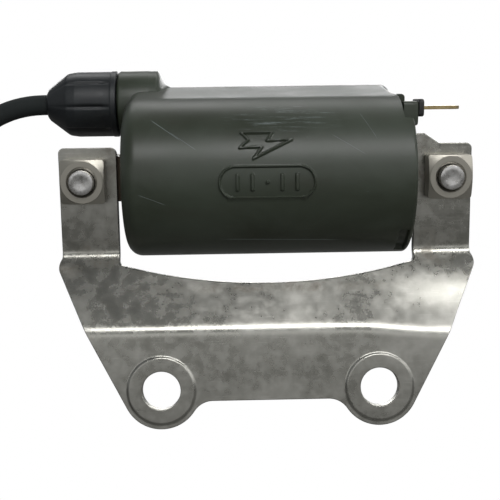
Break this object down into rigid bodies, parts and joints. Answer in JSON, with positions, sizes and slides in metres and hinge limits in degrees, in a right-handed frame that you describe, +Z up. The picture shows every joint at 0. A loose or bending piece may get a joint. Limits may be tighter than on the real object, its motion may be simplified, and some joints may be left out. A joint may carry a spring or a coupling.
{
  "type": "ignition coil",
  "caption": "Small-engine ignition coil: moulded cylinder on a laminated core in a pressed steel bracket, with a spade terminal, screw cap, high-tension lead and elbow plug cap.",
  "frame": {"origin": "on the bracket's rear face, midway between its two frame-bolt holes", "axes": "+X along the coil towards its spade terminal, +Y out of the bracket's rear face, towards what it is bolted to, +Z up"},
  "size_m": [0.1505, 0.0666, 0.1276],
  "materials": {
    "olive_case": "satin moulded plastic, dark olive grey-green",
    "bracket_steel": "bare pressed sheet, dull, mottled and scratched",
    "nut_steel": "dull plated steel with worn edges",
    "zinc_steel": "zinc-plated steel",
    "core_steel": "varnished plates with brown and olive stains",
    "brass": "tarnished brass",
    "copper": "enamelled copper wire",
    "bobbin_board": "pale moulded former",
    "resin": "dark potting resin",
    "black_rubber": "black rubber",
    "cap_plastic": "black moulded plastic, satin",
    "lead_jacket": "black insulated lead, satin",
    "cap_phenolic": "black phenolic moulding",
    "ceramic": "glazed resistor body",
    "tie_nylon": "black nylon tie"
  },
  "bodies": {
    "root": {"coil_case": "olive_case", "end_cap": "olive_case", "terminal_collar": "black_rubber", "terminal_blade": "brass", "terminal_wire": "copper", "core_plate_1": "core_steel", "core_plate_2": "core_steel", "core_plate_3": "core_steel", "core_plate_4": "core_steel", "primary_bobbin": "bobbin_board", "primary_winding": "copper", "secondary_bobbin": "bobbin_board", "earth_tongue": "brass", "secondary_winding_1": "copper", "secondary_winding_2": "copper", "secondary_winding_3": "copper", "secondary_winding_4": "copper", "secondary_winding_5": "copper", "secondary_winding_6": "copper", "potting_resin": "resin", "secondary_link": "brass", "tower_spike": "brass", "lead_seal": "black_rubber", "bracket": "bracket_steel", "core_bolt_left": "zinc_steel", "core_bolt_right": "zinc_steel", "square_nut_left": "nut_steel", "square_nut_right": "nut_steel", "flat_washer_left": "zinc_steel", "flat_washer_right": "zinc_steel", "spring_washer_left": "zinc_steel", "spring_washer_right": "zinc_steel", "ht_lead": "lead_jacket", "lead_coil": "lead_jacket", "lead_tail": "lead_jacket", "lead_tie": "tie_nylon", "plug_cap_body": "cap_phenolic", "plug_cap_boot": "black_rubber", "plug_cap_lead_boot": "black_rubber", "plug_cap_contact": "brass", "plug_cap_resistor": "ceramic", "plug_cap_spike": "brass"},
    "slip_washer": {"cap_washer": "brass"},
    "screw_cap": {"lead_cap": "cap_plastic"}
  },
  "joints": [
    {"name": "cap_advance", "type": "slide", "parent": "root", "child": "slip_washer", "axis": [-1, 0, 0], "range_m": [0, 0.003]},
    {"name": "cap_turn", "type": "hinge", "parent": "slip_washer", "child": "screw_cap", "pos_m": [-0.045, 0.0245, 0.0679], "axis": [-1, 0, 0], "range_deg": [0, 720]}
  ],
  "couplings": [
    {"joint": "cap_advance", "follows": "cap_turn", "m_per_rad": 0.0002387}
  ]
}
